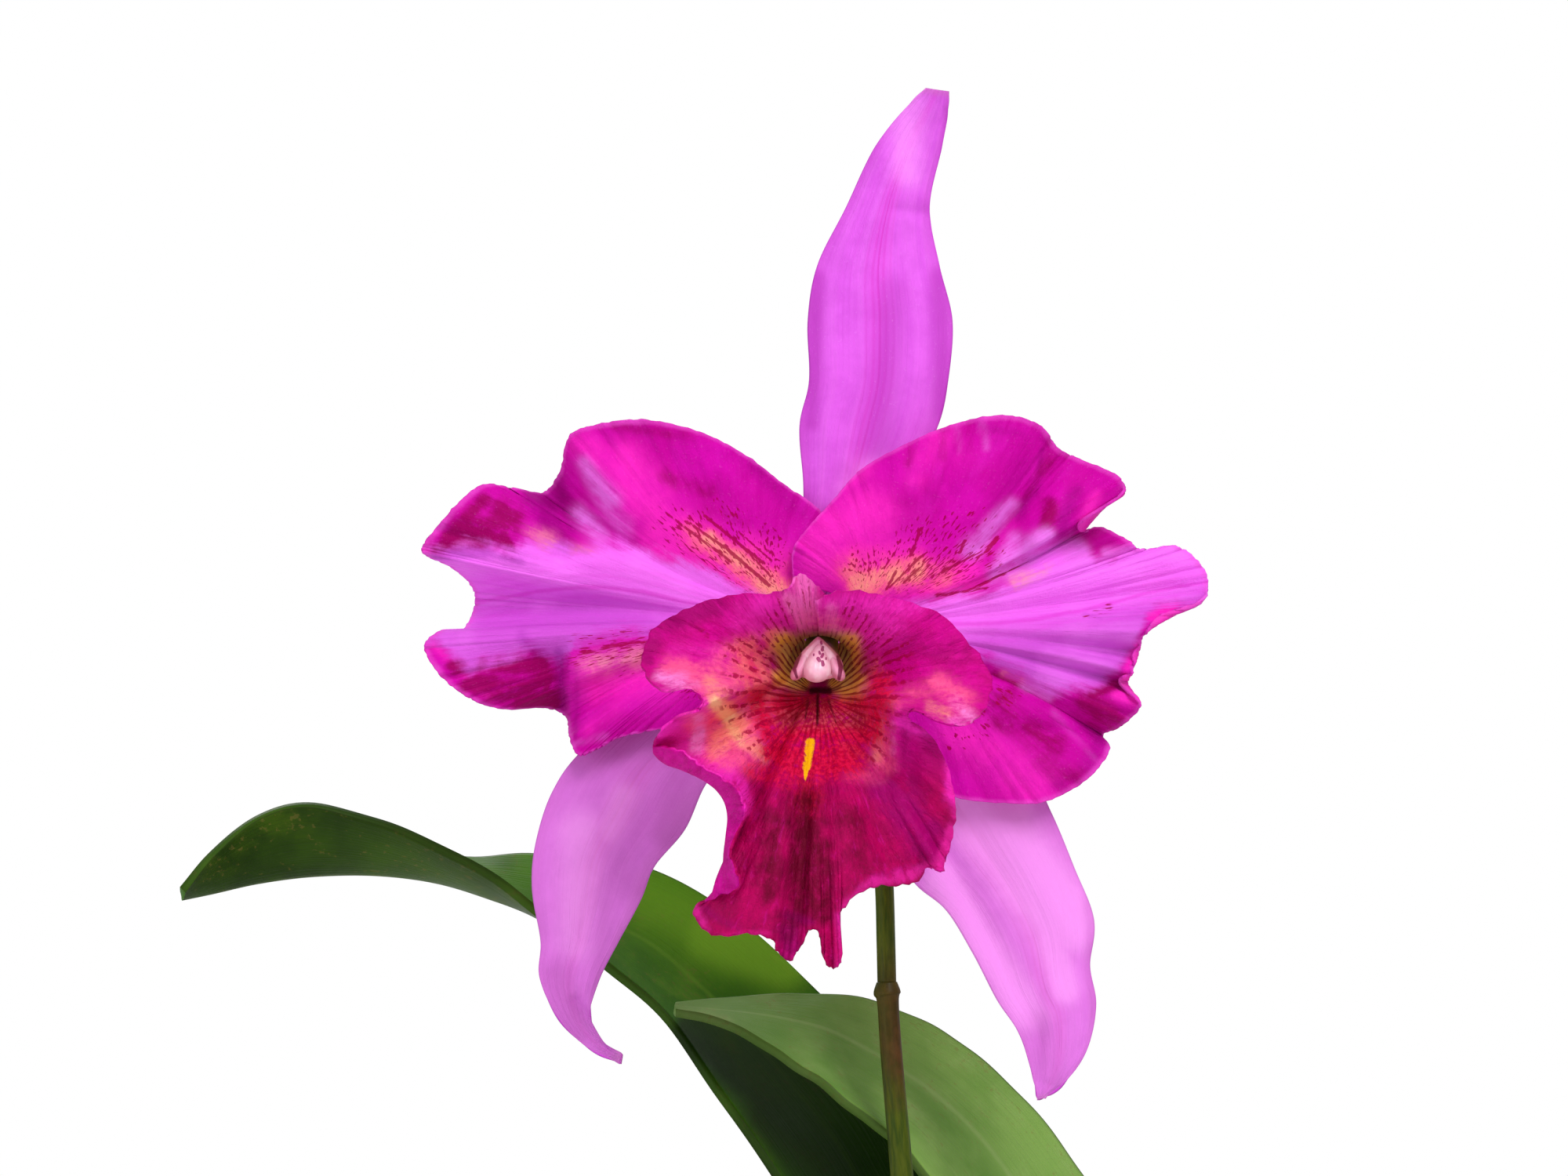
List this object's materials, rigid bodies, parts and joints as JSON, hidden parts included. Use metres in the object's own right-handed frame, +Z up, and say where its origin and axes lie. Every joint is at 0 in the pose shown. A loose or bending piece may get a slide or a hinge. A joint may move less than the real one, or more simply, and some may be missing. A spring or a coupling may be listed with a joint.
{
  "type": "potted laeliocattleya orchid",
  "caption": "Potted orchid with a large waved bloom on an upright stem, strap leaves on ribbed swollen stems, thick roots and bark in a plain clay pot.",
  "frame": {"origin": "middle of the pot's base, on the surface that it stands on", "axes": "+Z up, the bloom faces -Y, +X to the right of someone who faces the bloom"},
  "size_m": [0.2991, 0.2038, 0.4395],
  "materials": {
    "pot_clay": "dry unglazed clay, dull",
    "bark": "rough broken bark",
    "root": "dull whitish skin with green tips",
    "bulb": "ribbed green skin, slight sheen",
    "leaf": "thick leaf, soft sheen",
    "stem": "smooth green stem, slight sheen",
    "husk": "dry papery sheath",
    "sepal": "soft satin, lilac pink",
    "petal": "soft satin, lilac band and magenta flares",
    "lip": "velvety magenta with a yellow and crimson throat",
    "column": "waxy pale pink"
  },
  "bodies": {
    "root": {"pot": "pot_clay", "bark_mix": "bark", "rhizome": "root", "pseudobulb_1": "bulb", "pseudobulb_2": "bulb", "pseudobulb_3": "bulb", "pseudobulb_4": "bulb", "leaf_1": "leaf", "leaf_2": "leaf", "leaf_3": "leaf", "leaf_4": "leaf", "spathe": "husk", "peduncle": "stem", "pedicel": "stem", "dorsal_sepal": "sepal", "lateral_sepal_left": "sepal", "lateral_sepal_right": "sepal", "petal_left": "petal", "petal_right": "petal", "lip": "lip", "column": "column", "anther_cap": "column"}
  },
  "joints": []
}
